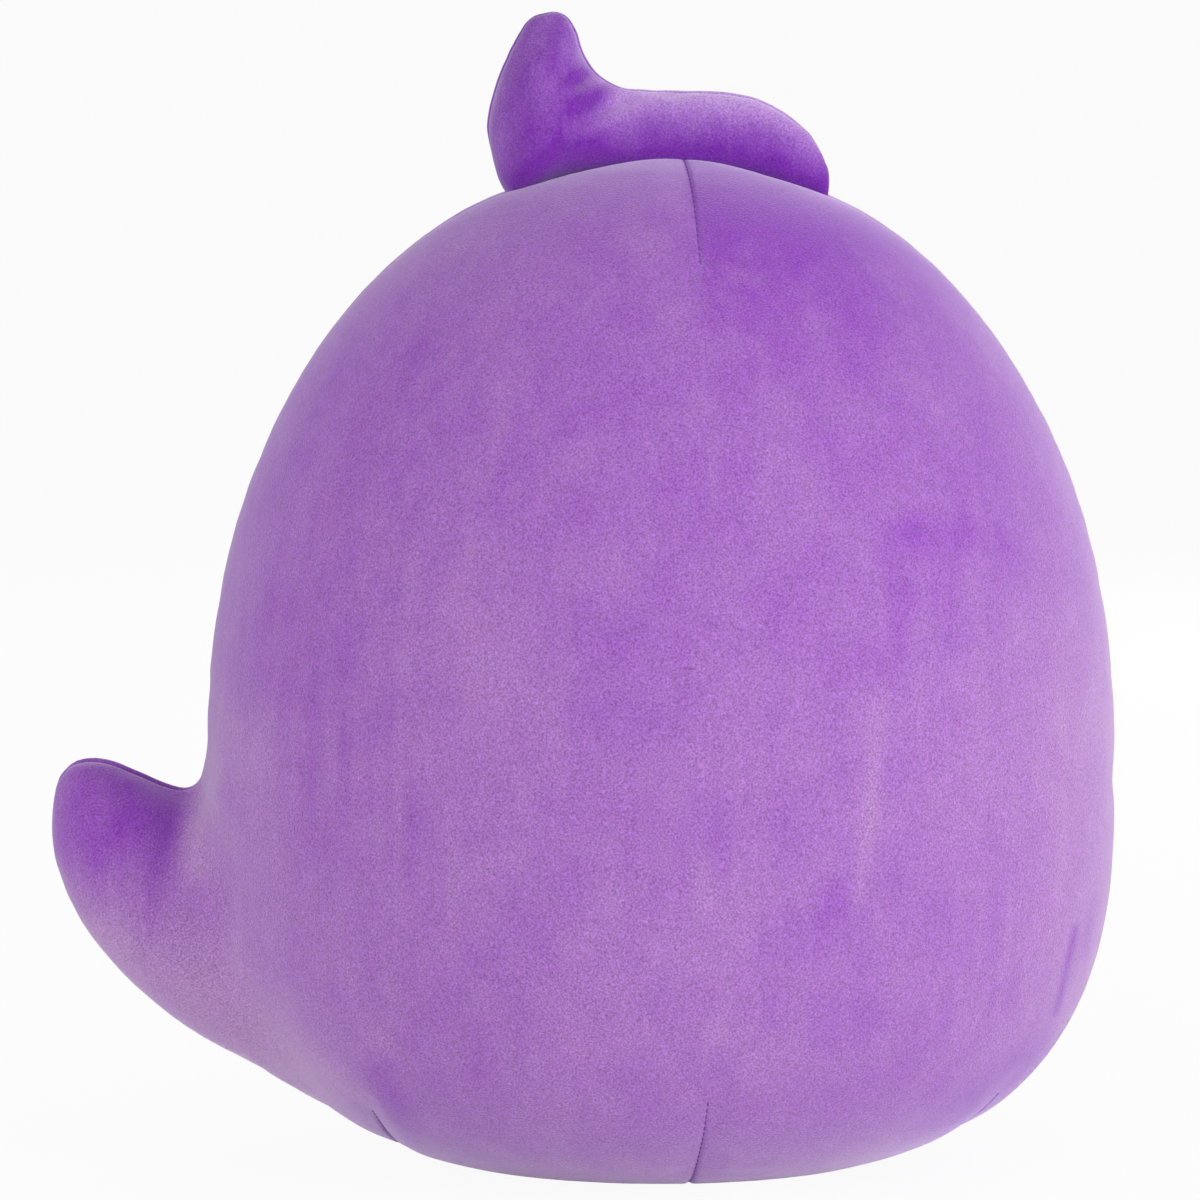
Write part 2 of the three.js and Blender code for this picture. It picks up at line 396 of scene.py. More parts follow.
def cut_dart(mesh, name, toward):
    """Cuts the rows beside one dart, on the back (toward 1) or the front (toward -1)."""
    start, end = darts[name]
    begin = Vector((start[0], seam_y + toward * start[1], 0))
    finish = Vector((end[0], seam_y + toward * end[1], 0))
    forward = finish - begin

    def beside(middle):
        share = (middle - begin).dot(forward) / forward.dot(forward)
        along = -dart_margin < share < 1 + dart_margin
        return along and (middle.z > widest_z) == (name == "crown")

    across = forward.cross(Vector((0, 0, 1)))
    cut_rows(mesh, begin, across, dart_rows, dart_reach, beside)


def one_side(mesh, toward):
    """The back (toward 1) or front (toward -1) of a sewn cover, open along the seam."""
    work = bmesh.new()
    work.from_mesh(mesh)
    wrong = [face for face in work.faces if toward * (face.calc_center_median().y - seam_y) < 0]
    bmesh.ops.delete(work, geom=wrong, context="FACES")
    return work


def panel(mesh, name, toward):
    """One side of a sewn cover as a shell of cloth."""
    work = one_side(mesh, toward)
    for corner in work.verts:
        if corner.is_boundary:
            corner.co.y = seam_y + toward * seam_gap
    half = bpy.data.meshes.new(name)
    work.to_mesh(half)
    work.free()
    half.polygons.foreach_set("use_smooth", [True] * len(half.polygons))
    return new_piece(name, applied(half, "SOLIDIFY", thickness=panel_thickness, offset=-1))


def at_tail(edge):
    """Points of the tail, given from the body's side, as places in the seam plane."""
    return [(side_x + out, widest_z + up) for out, up in edge]


tail = pillow(
    at_tail(tail_lower_edge), at_tail(tail_upper_edge),
    tail_fullness, tail_powers, tail_end_power, tail_end_share, tail_stations, tail_sides,
)
cover = merged([egg(), tail], cloth_grid)
points = evened(cover, points_of(cover), smoothing, grid_rounds)
share, distance = from_line(points[:, [0, 2]], *at_tail([tail_root_top, tail_root_foot]))
root = (tail_root_least + (1 - tail_root_least) * share) * fade(distance, tail_root_width)
set_points(cover, evened(cover, points, tail_root_smoothing * root, tail_root_rounds))

points = points_of(cover)
drawn_in = seam_pull * fade(points[:, 1] - seam_y, drawn_width)
for name in darts:
    share, distance, on_end = dart_place(points, name)
    pull = dart_pull * np.minimum(1, dart_pull_rise * share) * fade(distance, drawn_width)
    drawn_in = np.maximum(drawn_in, on_end * pull)
held = fade(np.maximum(points[:, 2], 0), held_height)
set_points(cover, points + stuffed_folds(cover, drawn_in, held))

points = points_of(cover)
points[:, 2] = np.maximum(points[:, 2], 0)
set_points(cover, points)
inner_form = cover.copy()
cover = applied(cover, "SUBSURF", levels=1, render_levels=1)

cut_rows(cover, (0, seam_y, 0), (0, 1, 0), seam_rows, seam_reach, everywhere)
for name in darts:
    for toward in (1, -1):
        cut_dart(cover, name, toward)

points = points_of(cover)
from_seam = np.abs(points[:, 1] - seam_y)
sink = seam_depth * fade(from_seam, seam_width)
for name in darts:
    share, distance, on_end = dart_place(points, name)
    taper = np.minimum(1, dart_taper_start + dart_taper_rise * share) * (1 - share**dart_taper_power)
    sink = np.maximum(sink, on_end * taper * dart_depth * fade(distance, dart_width))
off_floor = np.clip(points[:, 2] / flat_height, 0, 1)
swell = lump_height * lumps(points, lump_size) * off_floor
near = from_seam < 3 * pucker_reach
puckers = pucker_height * lumps(points[near], pucker_size) * fade(from_seam[near], pucker_reach)
swell[near] += puckers * off_floor[near]
_, distance, on_end = dart_place(points, "crown")
by_tuft = on_end * fade(from_seam, crown_peak_width)
swell += by_tuft * crown_peak * fade(distance, crown_peak_width)
for place, depth, width in crown_dips:
    swell -= by_tuft * depth * fade(points[:, 0] - place, width)
normals = normals_of(cover)
on_tail = past(points[:, 0] - side_x - front_spare_start, front_spare_softness)
swell += on_tail * np.clip(normals[:, 2], 0, 1) * past_seam(points)
for start, end, depth, width in tail_folds:
    share, distance = from_line(points[:, [0, 2]], *at_tail([start, end]))
    sink += depth * (1 - share) * fade(distance, width) * (1 - fade(from_seam, width))
set_points(cover, points + normals * (swell - sink)[:, None])


def put(tree, kind, inputs=(), **settings):
    """A node with its settings, its inputs either values or links from other nodes."""
    made = tree.nodes.new(kind)
    for name, value in settings.items():
        setattr(made, name, value)
    for socket, value in dict(inputs).items():
        if isinstance(value, bpy.types.NodeSocket):
            tree.links.new(value, made.inputs[socket])
        else:
            made.inputs[socket].default_value = value
    return made


def paint(red, green, blue):
    """A colour given as it looks on a screen, from 0 to 255."""
    shares = np.array([red, green, blue]) / 255
    linear = np.where(shares > 0.04045, ((shares + 0.055) / 1.055) ** 2.4, shares / 12.92)
    return (*[float(share) for share in linear], 1.0)


def weighted(tree, *terms):
    """The sum of values, each times its weight."""
    total = 0.0
    for value, weight in terms:
        inputs = {0: value, 1: weight, 2: total}
        total = put(tree, "ShaderNodeMath", inputs, operation="MULTIPLY_ADD").outputs[0]
    return total


def noise_node(tree, place, grains, detail):
    """Noise with its own number of grains to the metre along each axis, spread about 0."""
    scaled = put(tree, "ShaderNodeMapping", {"Vector": place, "Scale": grains})
    inputs = {"Vector": scaled.outputs[0], "Scale": 1, "Detail": detail, "Roughness": 0.55}
    value = put(tree, "ShaderNodeTexNoise", inputs).outputs[0]
    return weighted(tree, (value, 4), (1, -2))


def colour_mix(tree, share, first, second, kind="MIX"):
    """The first colour where share is 0, and the second where it is 1."""
    inputs = {0: share, 6: first, 7: second}
    return put(tree, "ShaderNodeMix", inputs, data_type="RGBA", blend_type=kind).outputs[2]


# Marks in the pile, from broad patches to its fine grain: how many to a metre along each axis, and how strong
patch_grains = (12, 12, 8)
patch_strength = 0.16
mottle_grains = (70, 70, 50)
mottle_strength = 0.12
mottle_relief = 0.3
streak_grains = (160, 160, 12)
streak_patch_grains = (18, 18, 12)
streak_strength = 0.15
pile_grains = (1700, 1700, 1700)
pile_strength = 0.26

# How the pile of the velour lies, for every piece of it: brushed up it is dark, brushed down pale. Painted
# shade and painted light come in by the same input and darken or lighten it alike
nap = bpy.data.node_groups.new("velour_nap", "ShaderNodeTree")
for name, kind in (("Place", "Vector"), ("Lie and Painted Light", "Float"), ("Brushed Up", "Color"), ("Brushed Down", "Color")):
    nap.interface.new_socket(name, in_out="INPUT", socket_type="NodeSocket" + kind)
nap.interface.new_socket("Color", in_out="OUTPUT", socket_type="NodeSocketColor")
nap.interface.new_socket("Height", in_out="OUTPUT", socket_type="NodeSocketFloat")
given = put(nap, "NodeGroupInput").outputs
patches = noise_node(nap, given["Place"], patch_grains, detail=2)
mottle = noise_node(nap, given["Place"], mottle_grains, detail=3)
streaks = noise_node(nap, given["Place"], streak_grains, detail=2)
streak_patches = noise_node(nap, given["Place"], streak_patch_grains, detail=1)
streaked = put(nap, "ShaderNodeMath", {0: streaks, 1: streak_patches}, operation="MULTIPLY").outputs[0]
grain = noise_node(nap, given["Place"], pile_grains, detail=0)
marks = [(patches, patch_strength), (mottle, mottle_strength), (streaked, streak_strength)]
tone = weighted(nap, (1, 0.5), (given["Lie and Painted Light"], 1), *marks)
brushed_and_painted_tone = colour_mix(nap, tone, given["Brushed Up"], given["Brushed Down"])
speckle = weighted(nap, (1, 1), (grain, pile_strength))
speckled = colour_mix(nap, 1, brushed_and_painted_tone, speckle, "MULTIPLY")
tufts = weighted(nap, (grain, 1), (mottle, mottle_relief))
put(nap, "NodeGroupOutput", {"Color": speckled, "Height": tufts})


def velour_material(name, brushed_up, brushed_down):
    """Short pile with a soft sheen, its colour given for both ways that it is brushed."""
    material = bpy.data.materials.new(name)
    material.use_nodes = True
    tree = material.node_tree
    place = put(tree, "ShaderNodeTexCoord").outputs["Object"]
    lie_and_painted_light = put(tree, "ShaderNodeAttribute", attribute_name="lie_and_painted_light").outputs["Fac"]
    inputs = {"Place": place, "Lie and Painted Light": lie_and_painted_light, "Brushed Up": brushed_up, "Brushed Down": brushed_down}
    pile = put(tree, "ShaderNodeGroup", inputs, node_tree=nap).outputs
    inputs = {"Height": pile["Height"], "Strength": 0.2, "Distance": 0.0003}
    bump = put(tree, "ShaderNodeBump", inputs)
    shader = tree.nodes["Principled BSDF"]
    tree.links.new(pile["Color"], shader.inputs["Base Color"])
    tree.links.new(bump.outputs[0], shader.inputs["Normal"])
    shader.inputs["Roughness"].default_value = 0.95
    shader.inputs["Specular IOR Level"].default_value = 0.1
    shader.inputs["Sheen Weight"].default_value = 1.0
    shader.inputs["Sheen Roughness"].default_value = 0.45
    shader.inputs["Sheen Tint"].default_value = paint(240, 225, 250)
    return material


def set_lie_and_painted_light(piece, values):
    """Keeps how the pile lies at each point, with its painted shade and painted light, for the material to
    read.
    """
    attribute = piece.data.attributes.new("lie_and_painted_light", "FLOAT", "POINT")
    attribute.data.foreach_set("value", values.astype(np.float32))


# Strokes that hands and sewing have left in the pile, among them marks of painted shade and painted light
# noted below, in the seam plane: start, end, width and how much darker (below 0) or paler it is
strokes_and_painted_light = [
    # Painted shade in the valley where the tail turns out from the body
    ((0.164, 0.120), (0.174, 0.080), 0.005, -0.18),
    # Painted highlight: sheen on the body's edge beside the tail's notch
    ((0.1560, 0.138), (0.1575, 0.105), 0.006, 0.30),
    # Painted highlight: sheen along the tail's lower edge
    ((0.190, 0.078), (0.120, 0.028), 0.018, 0.34),
    ((0.132, 0.140), (0.118, 0.045), 0.024, 0.20),
    # Painted shade beside the fold of the tail-side dart
    ((0.0945, 0.042), (0.0845, 0.014), 0.006, -0.36),
    ((-0.1385, 0.0854), (-0.1327, 0.0562), 0.0015, -0.55),
    ((-0.1459, 0.0934), (-0.1425, 0.0748), 0.0020, -0.20),
    ((-0.078, 0.2225), (-0.100, 0.2190), 0.006, -0.16),
    # Painted shade on the bottom rim by the far-side dart, near the floor
    ((-0.095, 0.012), (-0.125, 0.038), 0.012, -0.40),
    ((-0.0785, 0.205), (-0.0740, 0.174), 0.004, -0.16),
    ((-0.0715, 0.174), (-0.0640, 0.106), 0.0028, 0.20),
    ((-0.0560, 0.110), (-0.0490, 0.090), 0.005, -0.14),
    ((0.036, 0.100), (0.048, 0.072), 0.006, -0.12),
    # Painted highlight: sheen along the rim of the side away from the tail
    ((-0.150, 0.150), (-0.150, 0.050), 0.045, 0.25),
]


# The tail's pile is brushed up from the fold at its root outwards
tail_lie = -0.42
tail_lie_middle = (0.182, 0.118)
tail_lie_width = 0.026
tail_fold_place = (0.160, 0.127)
tail_fold_way = (0.95, 0.27)
tail_fold_softness = 0.002

# The crown's pile is brushed up on the far side of its dart, most of all in one patch; beside the tuft, on
# the shoulder, painted shade darkens it further
crown_lie = -0.34
crown_lie_middle = (-0.036, 0.318)
crown_lie_width = 0.050
crown_dart_softness = 0.0015
shoulder_painted_shade = -0.30
shoulder_height = 0.331
shoulder_width = 0.010
shoulder_place = -0.030
shoulder_softness = 0.008

# Painted shade: the upper half is darker, more so at the very top, and there most on the far side of the dart
upper_painted_shade = -0.08
upper_height = 0.20
upper_softness = 0.03
top_painted_shade = -0.12
top_height = 0.325
top_softness = 0.005
dart_top_painted_shade = -0.10

# Painted light from the floor makes the middle of the base paler, and painted shade darkens the cloth along
# the seam of the shoulders
base_painted_light = 0.18
base_light_height = 0.020
base_light_width = 0.080
seam_painted_shade = -0.26
seam_shade_width = 0.035
seam_shade_start = 0.030
seam_shade_start_softness = 0.006
seam_shade_height = 0.23
seam_shade_height_softness = 0.02


def body_lie_and_painted_light(points):
    """How the pile lies at each point of the body, brushed up below 0 and brushed down above it, with painted
    shade and painted light added the same way.
    """
    x, y, z = points.T
    in_plane = points[:, [0, 2]]
    from_tail = np.linalg.norm(in_plane - np.array(tail_lie_middle), axis=1)
    past_fold = (in_plane - np.array(tail_fold_place)) @ np.array(tail_fold_way)
    lie_and_painted_light = tail_lie * fade(from_tail, tail_lie_width) * past(past_fold, tail_fold_softness)
    for start, end, width, amount in strokes_and_painted_light:
        _, distance = from_line(in_plane, start, end)
        lie_and_painted_light += amount * fade(distance, width)
    (start_x, _), (end_x, dart_length) = darts["crown"]
    dart_x = start_x + (end_x - start_x) * np.abs(y - seam_y) / dart_length
    far_side = past(dart_x - x, crown_dart_softness)
    from_crown = np.linalg.norm(in_plane - np.array(crown_lie_middle), axis=1)
    lie_and_painted_light += crown_lie * far_side * fade(from_crown, crown_lie_width)
    # Painted shade on the shoulder beside the tuft
    shoulder = fade(z - shoulder_height, shoulder_width) * past(shoulder_place - x, shoulder_softness)
    lie_and_painted_light += shoulder_painted_shade * shoulder
    # Painted shade over the upper half, more at the very top
    lie_and_painted_light += upper_painted_shade * past(z - upper_height, upper_softness)
    lie_and_painted_light += (top_painted_shade + dart_top_painted_shade * far_side) * past(z - top_height, top_softness)
    # Painted light from the floor at the middle of the base
    lie_and_painted_light += base_painted_light * fade(z, base_light_height) * fade(x, base_light_width)
    # Painted shade along the seam of the shoulders
    by_seam = fade(y - seam_y, seam_shade_width) * past(np.abs(x) - seam_shade_start, seam_shade_start_softness)
    lie_and_painted_light += seam_painted_shade * by_seam * past(z - seam_shade_height, seam_shade_height_softness)
    return lie_and_painted_light


body_velour = velour_material(
    "body_velour", brushed_up=paint(142, 60, 187), brushed_down=paint(185, 142, 198)
)
back_cover = panel(cover, "back_cover", 1)
front_cover = panel(cover, "front_cover", -1)
for piece in (back_cover, front_cover):
    set_lie_and_painted_light(piece, body_lie_and_painted_light(points_of(piece.data)))
    piece.data.materials.append(body_velour)
    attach(piece, "body")
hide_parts("back_body_panel", "tail_back_panel")
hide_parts("front_body_panel", "tail_front_panel")

# Body filling
# Loose white fibre, blown in through the closing gap until the body and the tail are tight.
# It takes the cover's form from inside, in soft clumps.
filling_inset = 0.0050
filling_rounds = 12
clump_size = 0.018
clump_height = 0.0016


# Two tones that follow the grain of plain fibres: filling, thread, floss and backing
fibre_grain = bpy.data.node_groups.new("fibre_grain", "ShaderNodeTree")
for name, kind in (
    ("Place", "Vector"), ("Grains", "Vector"), ("Contrast", "Float"), ("Dark", "Color"), ("Pale", "Color")
):
    fibre_grain.interface.new_socket(name, in_out="INPUT", socket_type="NodeSocket" + kind)
fibre_grain.interface.new_socket("Color", in_out="OUTPUT", socket_type="NodeSocketColor")
fibre_grain.interface.new_socket("Height", in_out="OUTPUT", socket_type="NodeSocketFloat")
given = put(fibre_grain, "NodeGroupInput").outputs
strands = noise_node(fibre_grain, given["Place"], given["Grains"], 2)
shade = weighted(fibre_grain, (1, 0.5), (strands, given["Contrast"]))
toned = colour_mix(fibre_grain, shade, given["Dark"], given["Pale"])
put(fibre_grain, "NodeGroupOutput", {"Color": toned, "Height": strands})


def fibre_material(name, dark, pale, grains, contrast, relief, roughness):
    """Plain fibres in two tones, with the relief of their grain."""
    material = bpy.data.materials.new(name)
    material.use_nodes = True
    tree = material.node_tree
    place = put(tree, "ShaderNodeTexCoord").outputs["Object"]
    inputs = {"Place": place, "Grains": grains, "Contrast": contrast, "Dark": dark, "Pale": pale}
    strands = put(tree, "ShaderNodeGroup", inputs, node_tree=fibre_grain).outputs
    bump = put(tree, "ShaderNodeBump", {"Height": strands["Height"], "Strength": 0.4, "Distance": relief})
    shader = tree.nodes["Principled BSDF"]
    tree.links.new(strands["Color"], shader.inputs["Base Color"])
    tree.links.new(bump.outputs[0], shader.inputs["Normal"])
    shader.inputs["Roughness"].default_value = roughness
    return material


def filling(name, form, inset):
    """Fibre packed inside a cover, as a clumpy form a little smaller than it."""
    points = evened(form, points_of(form), smoothing, filling_rounds)
    depth = inset + clump_height * np.abs(lumps(points, clump_size))
    set_points(form, points - normals_of(form) * depth[:, None])
    form.polygons.foreach_set("use_smooth", [True] * len(form.polygons))
    form.materials.append(white_fibre)
    piece = new_piece(name, form)
    return piece


white_fibre = fibre_material(
    "white_fibre", dark=paint(214, 212, 206), pale=paint(244, 243, 240),
    grains=(500, 500, 160), contrast=0.25, relief=0.0006, roughness=1.0,
)
body_fibre = filling("body_fibre", inner_form, filling_inset)
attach(body_fibre, "body")
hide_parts("body_filling", "tail_filling")

# Sewing thread of the body
# Polyester thread to match the velour: a lockstitch round the edge and along each dart, and at the base
# the slanted hand stitches that close the gap the filling went in through.
stitch_length = 0.0024
stitch_spacing = 0.0030
thread_thickness = 0.0007
thread_sink = 0.0004
dart_thread_sink = 0.0001
closing_start_x = 0.020
closing_end_x = 0.105
closing_slant = math.radians(55)
base_height = 0.05
tail_edge_margin = 0.001
dart_samples = 40
dart_thread_start = 0.04
dart_thread_end = 0.98


# A row of stitches along a line: one plump stitch at each step, turned along the line or across it
stitches = bpy.data.node_groups.new("stitch_row", "GeometryNodeTree")
stitches.interface.new_socket("Line", in_out="INPUT", socket_type="NodeSocketGeometry")
for name in ("Stitch Length", "Spacing", "Thickness", "Slant"):
    stitches.interface.new_socket(name, in_out="INPUT", socket_type="NodeSocketFloat")
stitches.interface.new_socket("Thread", in_out="INPUT", socket_type="NodeSocketMaterial")
stitches.interface.new_socket("Stitches", in_out="OUTPUT", socket_type="NodeSocketGeometry")
given = put(stitches, "NodeGroupInput").outputs
line = put(stitches, "GeometryNodeMeshToCurve", {"Mesh": given["Line"]}).outputs[0]
inputs = {"Curve": line, "Length": given["Spacing"]}
steps = put(stitches, "GeometryNodeResampleCurve", inputs, mode="LENGTH").outputs[0]
ball = put(stitches, "GeometryNodeMeshUVSphere", {"Segments": 8, "Rings": 6, "Radius": 0.5}).outputs[0]
thick = given["Thickness"]
plump = put(stitches, "ShaderNodeCombineXYZ", {0: thick, 1: thick, 2: given["Stitch Length"]}).outputs[0]
stitch = put(stitches, "GeometryNodeTransform", {"Geometry": ball, "Scale": plump}).outputs[0]
ahead = put(stitches, "GeometryNodeInputTangent").outputs[0]
lean = put(stitches, "ShaderNodeMath", {0: given["Slant"]}, operation="TANGENT").outputs[0]
sideways = put(stitches, "ShaderNodeCombineXYZ", {1: lean}).outputs[0]
heading = put(stitches, "ShaderNodeVectorMath", {0: ahead, 1: sideways}, operation="ADD").outputs[0]
turned = put(stitches, "FunctionNodeAlignRotationToVector", {"Vector": heading}, axis="Z").outputs[0]
inputs = {"Points": steps, "Instance": stitch, "Rotation": turned}
placed = put(stitches, "GeometryNodeInstanceOnPoints", inputs).outputs[0]
solid = put(stitches, "GeometryNodeRealizeInstances", {"Geometry": placed}).outputs[0]
dyed = put(stitches, "GeometryNodeSetMaterial", {"Geometry": solid, "Material": given["Thread"]}).outputs[0]
put(stitches, "NodeGroupOutput", {"Stitches": dyed})


def grown(piece, tree, values):
    """Runs a node tree on a piece and keeps its plain mesh."""
    modifier = piece.modifiers.new("Nodes", "NODES")
    modifier.node_group = tree
    for item in tree.interface.items_tree:
        if item.name in values:
            modifier[item.identifier] = values[item.name]
    piece.data = finished_mesh(piece)
    piece.modifiers.clear()
    return piece


def sewn(name, lines, slant=0.0):
    """Stitches along lines of points, as one piece."""
    points = [point for line in lines for point in line]
    edges = []
    first = 0
    for line in lines:
        edges += [(at, at + 1) for at in range(first, first + len(line) - 1)]
        first += len(line)
    mesh = bpy.data.meshes.new(name)
    mesh.from_pydata(points, edges, [])
    sizes = {"Stitch Length": stitch_length, "Spacing": stitch_spacing, "Thickness": thread_thickness}
    piece = grown(new_piece(name, mesh), stitches, {**sizes, "Slant": slant, "Thread": purple_thread})
    return piece


def edge_loop(mesh):
    """The points of a cover along its seam, in order round the edge."""
    work = one_side(mesh, 1)
    loop = [min((corner for corner in work.verts if corner.is_boundary), key=lambda corner: corner.co.z)]
    passed = set(loop)
    while True:
        near = [edge.other_vert(loop[-1]) for edge in loop[-1].link_edges if edge.is_boundary]
        ahead = [corner for corner in near if corner not in passed]
        if not ahead:
            break
        loop.append(ahead[0])
        passed.add(ahead[0])
    places = []
    for corner in loop:
        outward = Vector((corner.normal.x, 0, corner.normal.z)).normalized()
        places.append(corner.co - thread_sink * outward)
    work.free()
    return places


def runs(loop, chosen):
    """The stretches of a loop whose points are chosen."""
    found = []
    open_run = []
    for point in [*loop, loop[0]]:
        if chosen(point):
            open_run.append(point)
        elif open_run:
            found.append(open_run)
            open_run = []
    if open_run:
        found.append(open_run)
    return [run for run in found if len(run) > 2]


def part_of_edge(point):
    """Which seam a point of the edge belongs to."""
    if point.z < base_height and closing_start_x < point.x < closing_end_x:
        return "closing"
    return "tail" if point.x > side_x - tail_edge_margin and point.z < widest_z else "body"


def dart_line(name, toward):
    """Points along the bottom of a dart's groove, found on the finished cover."""
    start, end = darts[name]
    upper = name == "crown"
    line = []
    for share in np.linspace(dart_thread_start, dart_thread_end, dart_samples):
        x = start[0] + share * (end[0] - start[0])
        y = seam_y + toward * (start[1] + share * (end[1] - start[1]))
        ray = Vector((0, 0, -1 if upper else 1))
        hit, outward, _, _ = surface.ray_cast(Vector((x, y, 1 if upper else -1)), ray)
        line.append(hit - dart_thread_sink * outward)
    return line


purple_thread = fibre_material(
    "purple_thread", dark=paint(96, 45, 134), pale=paint(126, 69, 166),
    grains=(2500, 2500, 2500), contrast=0.3, relief=0.0001, roughness=0.6,
)
loop = edge_loop(cover)
for part in ("body", "closing", "tail"):
    slant = closing_slant if part == "closing" else 0.0
    piece = sewn(part + "_seam_stitches", runs(loop, lambda point: part_of_edge(point) == part), slant)
    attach(piece, "body")
    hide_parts(part + "_seam_thread")

work = bmesh.new()
work.from_mesh(cover)
surface = BVHTree.FromBMesh(work)
work.free()
for name in darts:
    for face, toward in (("back", 1), ("front", -1)):
        piece = sewn(f"{face}_{name}_dart_stitches", [dart_line(name, toward)])
        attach(piece, "body")
        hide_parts(f"{face}_{name}_dart_thread")

# Tuft
# A curl cut from two pieces of the same velour, turned right side out and stuffed like a small limb.
# Its open base is caught in the body's seam along the crown, so it can flop forwards and back.
tuft_lower_edge = [
    (-0.0585, -0.005), (-0.042, -0.005), (-0.018, -0.005), (0.010, -0.005), (0.034, -0.005),
    (0.0505, -0.0055), (0.0584, 0.018), (0.0554, 0.0365), (0.0456, 0.0556),
]
tuft_upper_edge = [
    (-0.0588, 0.0085), (-0.0498, 0.0182), (-0.030, 0.0237), (0.000, 0.0228), (0.0140, 0.0242),
    (0.0220, 0.0296), (0.0270, 0.0385), (0.0290, 0.0480), (0.0328, 0.0554),
]
tuft_fullness = 0.85
tuft_powers = (0.8, 1.0)
tuft_end_power = 6
tuft_end_share = 0.35
tuft_stations = 60
tuft_sides = 32
tuft_grid = 0.0022
tuft_rounds = 6
tuft_tip_width = 0.008
tuft_tip_rounds = 10
tuft_seam_rows = seam_rows[:5]
tuft_seam_reach = 0.006
tuft_seam_depth = 0.0014
tuft_seam_width = 0.0011
tuft_spare_height = 0.01
tuft_free_height = 0.002
tuft_filling_inset = 0.0035
crease_stop = 0.005

# Creases where the curl bends up, in the seam plane: start, end, depth and width
tuft_creases = [
    ((0.0130, 0.3620), (0.0315, 0.3520), 0.0032, 0.0038),
    ((0.0250, 0.3690), (0.0330, 0.3645), 0.0014, 0.0026),
]

# Painted shade in the creases and a painted highlight on the ridge between them, in the seam plane: start,
# end, width and how much darker (below 0) or paler it is
tuft_crease_shade_and_highlight = [
    ((0.0165, 0.3655), (0.0335, 0.3560), 0.0034, -0.42),
    ((0.0100, 0.3595), (0.0280, 0.3485), 0.0032, 0.24),
    ((0.0260, 0.3700), (0.0340, 0.3655), 0.0024, -0.36),
]

# The tuft's pile is brushed up, and brushed down on the stretch that lies along the crown and at that
# stretch's end.
# Painted shade darkens its base where it meets the crown, and a painted highlight lightens the top of the
# lying stretch
tuft_lie = -0.36
tuft_base_painted_shade = -0.28
tuft_base_height = 0.009
lying_start = 0.0185
lying_softness = 0.003
lying_lie = 0.13
lying_ridge_painted_highlight = 0.95
lying_ridge_height = 0.026
lying_ridge_width = 0.0090
far_end_lie = 0.10
far_end_start = -0.045
far_end_softness = 0.005


def crown_at(x):
    """Height of the crown's seam at a distance across the body."""
    return widest_z + (crown_z - widest_z) * (1 - (abs(x) / side_x) ** crown_power) ** (1 / crown_power)


def on_crown(edge):
    """Points of the tuft, given from the crown's seam, as places in the seam plane."""
    return [(x, crown_at(x) + rise) for x, rise in edge]


def above_crown(points):
    """How far each point is above the crown's seam."""
    return points[:, 2] - np.array([crown_at(x) for x in points[:, 0]])


def tuft_lie_and_painted_light(points):
    """How the pile lies at each point of the tuft, with painted shade at its base and in its creases, and
    painted highlights on top of its lying stretch and on the ridge between the creases.
    """
    x = points[:, 0]
    height = above_crown(points)
    # Painted shade at the base, where the tuft meets the crown
    lie_and_painted_light = tuft_lie + tuft_base_painted_shade * fade(height, tuft_base_height)
    # Painted highlight along the top of the lying stretch
    ridge = fade(height - lying_ridge_height, lying_ridge_width)
    lie_and_painted_light += past(lying_start - x, lying_softness) * (lying_lie + lying_ridge_painted_highlight * ridge)
    lie_and_painted_light += far_end_lie * past(far_end_start - x, far_end_softness)
    # Painted shade in the creases and a painted highlight on the ridge between them
    for start, end, width, amount in tuft_crease_shade_and_highlight:
        share, distance = from_line(points[:, [0, 2]], start, end)
        lie_and_painted_light += amount * (1 - share**2) * fade(distance, width)
    return lie_and_painted_light


def flop(piece):
    """Bakes the piece's placement into its mesh."""
    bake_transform(piece)


form = pillow(
    on_crown(tuft_lower_edge), on_crown(tuft_upper_edge),
    tuft_fullness, tuft_powers, tuft_end_power, tuft_end_share, tuft_stations, tuft_sides,
)
tuft = merged([form], tuft_grid)
points = evened(tuft, points_of(tuft), smoothing, tuft_rounds)
tip = np.array(on_crown([tuft_upper_edge[-1]])[0])
from_tip = np.linalg.norm(points[:, [0, 2]] - tip, axis=1)
points = evened(tuft, points, smoothing * fade(from_tip, tuft_tip_width), tuft_tip_rounds)
set_points(tuft, points)
drawn_in = seam_pull * fade(points[:, 1] - seam_y, tuft_grid)
held = fade(np.maximum(above_crown(points), 0), held_height)
set_points(tuft, points + stuffed_folds(tuft, drawn_in, held))
tuft_inner_form = tuft.copy()
tuft = applied(tuft, "SUBSURF", levels=1, render_levels=1)
cut_rows(tuft, (0, seam_y, 0), (0, 1, 0), tuft_seam_rows, tuft_seam_reach, everywhere)
points = points_of(tuft)
sink = tuft_seam_depth * fade(points[:, 1] - seam_y, tuft_seam_width)
off_seam = 1 - fade(points[:, 1] - seam_y, crease_stop)
for start, end, depth, width in tuft_creases:
    share, distance = from_line(points[:, [0, 2]], start, end)
    sink += depth * (1 - share**2) * fade(distance, width) * off_seam
normals = normals_of(tuft)
off_base = np.clip((points[:, 2] - crown_z) / tuft_spare_height, 0, 1)
set_points(tuft, points + normals * (off_base * past_seam(points) - sink)[:, None])

